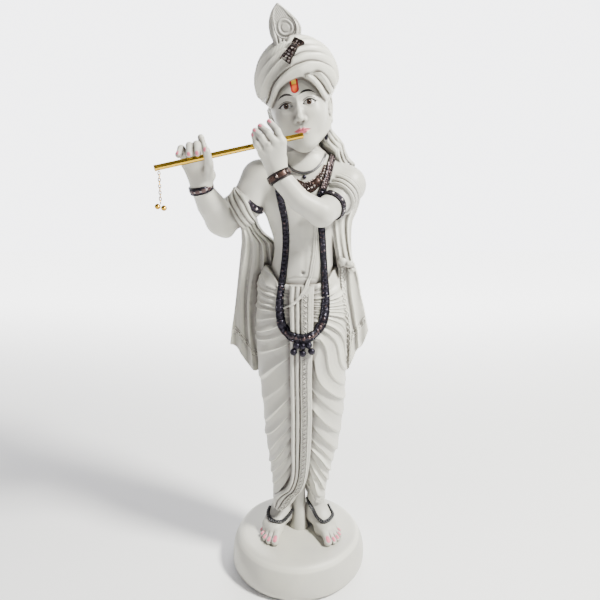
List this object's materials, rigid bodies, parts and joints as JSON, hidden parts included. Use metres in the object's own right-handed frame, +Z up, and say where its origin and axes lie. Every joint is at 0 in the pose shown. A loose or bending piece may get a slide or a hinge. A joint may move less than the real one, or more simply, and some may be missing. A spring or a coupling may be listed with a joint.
{
  "type": "standing flute player statue",
  "caption": "White cast statue of a standing turbaned flute player in dhoti and shawl on a round plinth, with gilt flute and dark glued-on jewellery.",
  "frame": {"origin": "centre of the plinth's round underside", "axes": "+Z up, the figure looks along -Y, +X is the viewer's right"},
  "size_m": [0.3057, 0.267, 0.9131],
  "materials": {
    "white_cast": "matte white cast stone and resin, with painted brows, eyes, lips, forehead mark and nails",
    "gilt_metal": "polished gilt",
    "dark_metal": "dark gunmetal with clear and black stones",
    "bronze_metal": "dark bronze with clear stones"
  },
  "bodies": {
    "root": {"figure": "white_cast", "flute": "gilt_metal", "chain": "gilt_metal", "bell_left": "gilt_metal", "bell_right": "gilt_metal", "mala": "dark_metal", "choker": "dark_metal", "bracelet_left": "dark_metal", "armlet_left": "dark_metal", "armlet_right": "dark_metal", "anklet_left": "dark_metal", "anklet_right": "dark_metal", "earring_left": "dark_metal", "earring_right": "dark_metal", "collar": "bronze_metal", "bracelet_right": "bronze_metal", "turban_brooch": "bronze_metal"}
  },
  "joints": []
}
